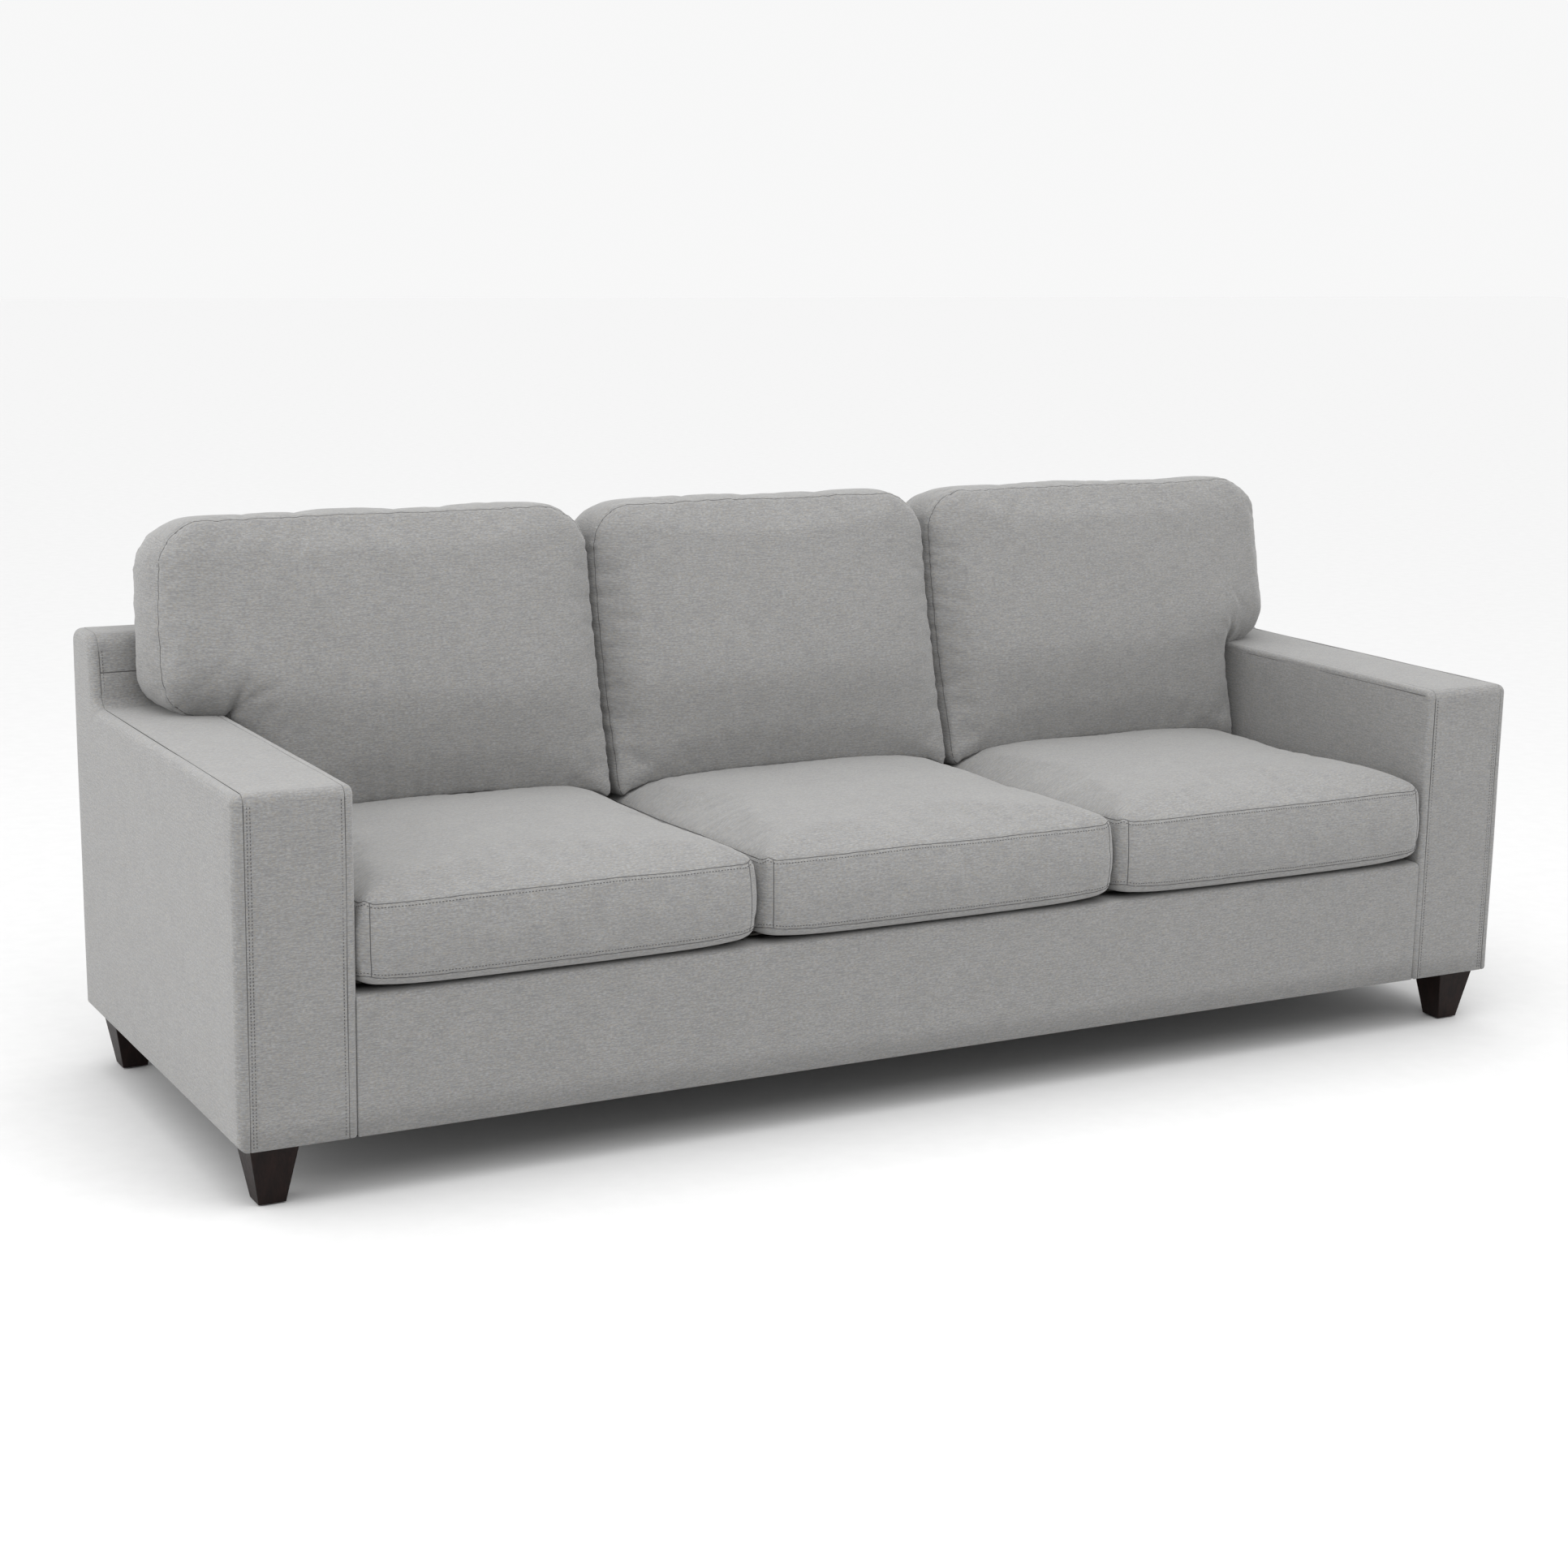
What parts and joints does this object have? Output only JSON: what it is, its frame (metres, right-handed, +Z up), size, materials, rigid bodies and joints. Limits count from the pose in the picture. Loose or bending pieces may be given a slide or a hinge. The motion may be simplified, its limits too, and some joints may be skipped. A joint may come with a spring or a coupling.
{
  "type": "three-seat sofa",
  "caption": "Upholstered sofa with track arms, loose boxed seat cushions, loose back cushions that reach over the arms, and tapered dark wooden legs.",
  "frame": {"origin": "on the floor under the centre of the whole sofa", "axes": "+X along the sofa to the right of someone who faces its front, +Y from the front to the rear, +Z up"},
  "size_m": [2.235, 0.8199, 0.8897],
  "materials": {
    "frame_timber": "matte",
    "frame_plywood": "matte",
    "leg_wood": "satin",
    "glide_nylon": "satin",
    "zinc_steel": "satin",
    "spring_wire": "satin",
    "webbing": "matte",
    "foam": "matte",
    "fibre_fill": "matte",
    "woven_cover": "matte",
    "deck_lining": "matte",
    "dust_cloth": "matte"
  },
  "bodies": {
    "frame": {"arm_band_left": "woven_cover", "arm_band_right": "woven_cover", "arm_front_board_left": "frame_plywood", "arm_front_board_right": "frame_plywood", "arm_pad_left": "foam", "arm_pad_right": "foam", "arm_top_board_left": "frame_plywood", "arm_top_board_right": "frame_plywood", "back_pad": "foam", "back_post_left": "frame_timber", "back_post_right": "frame_timber", "back_tack_rail": "frame_timber", "back_top_band": "woven_cover", "back_top_rail": "frame_timber", "back_uprights": "frame_timber", "back_webbing": "webbing", "corner_blocks": "frame_timber", "deck_cloth": "deck_lining", "deck_pad": "foam", "deck_side_rail_left": "frame_timber", "deck_side_rail_right": "frame_timber", "dust_cover": "dust_cloth", "front_edge_roll": "foam", "front_rail": "frame_timber", "front_rail_cover": "woven_cover", "hanger_bolts": "zinc_steel", "inside_arm_left": "woven_cover", "inside_arm_right": "woven_cover", "inside_back_cover": "woven_cover", "leg_front_left": "leg_wood", "leg_front_right": "leg_wood", "leg_glides": "glide_nylon", "leg_plates": "zinc_steel", "leg_rear_left": "leg_wood", "leg_rear_right": "leg_wood", "outside_arm_left": "woven_cover", "outside_arm_right": "woven_cover", "outside_back_cover": "woven_cover", "plate_screws": "zinc_steel", "rear_rail": "frame_timber", "seat_springs": "spring_wire", "seat_stretchers": "frame_timber", "side_rail_left": "frame_timber", "side_rail_right": "frame_timber", "spring_clips": "zinc_steel", "spring_rail": "frame_timber", "spring_ties": "spring_wire"},
    "seat_cushion_left": {"seat_cover_left": "woven_cover", "seat_core_left": "foam"},
    "back_cushion_left": {"back_cover_left": "woven_cover", "back_fill_left": "fibre_fill"},
    "seat_cushion_centre": {"seat_cover_centre": "woven_cover", "seat_core_centre": "foam"},
    "back_cushion_centre": {"back_cover_centre": "woven_cover", "back_fill_centre": "fibre_fill"},
    "seat_cushion_right": {"seat_cover_right": "woven_cover", "seat_core_right": "foam"},
    "back_cushion_right": {"back_cover_right": "woven_cover", "back_fill_right": "fibre_fill"}
  },
  "joints": [
    {"name": "seat_cushion_left_pull", "type": "slide", "parent": "frame", "child": "seat_cushion_left", "axis": [0, -0.9997, 0.0262], "range_m": [0, 0.68]},
    {"name": "seat_cushion_centre_pull", "type": "slide", "parent": "frame", "child": "seat_cushion_centre", "axis": [0, -0.9997, 0.0262], "range_m": [0, 0.68]},
    {"name": "seat_cushion_right_pull", "type": "slide", "parent": "frame", "child": "seat_cushion_right", "axis": [0, -0.9997, 0.0262], "range_m": [0, 0.68]},
    {"name": "back_cushion_left_lift", "type": "slide", "parent": "frame", "child": "back_cushion_left", "axis": [0, 0.1392, 0.9903], "range_m": [0, 0.42]},
    {"name": "back_cushion_centre_lift", "type": "slide", "parent": "frame", "child": "back_cushion_centre", "axis": [0, 0.1392, 0.9903], "range_m": [0, 0.42]},
    {"name": "back_cushion_right_lift", "type": "slide", "parent": "frame", "child": "back_cushion_right", "axis": [0, 0.1392, 0.9903], "range_m": [0, 0.42]}
  ]
}
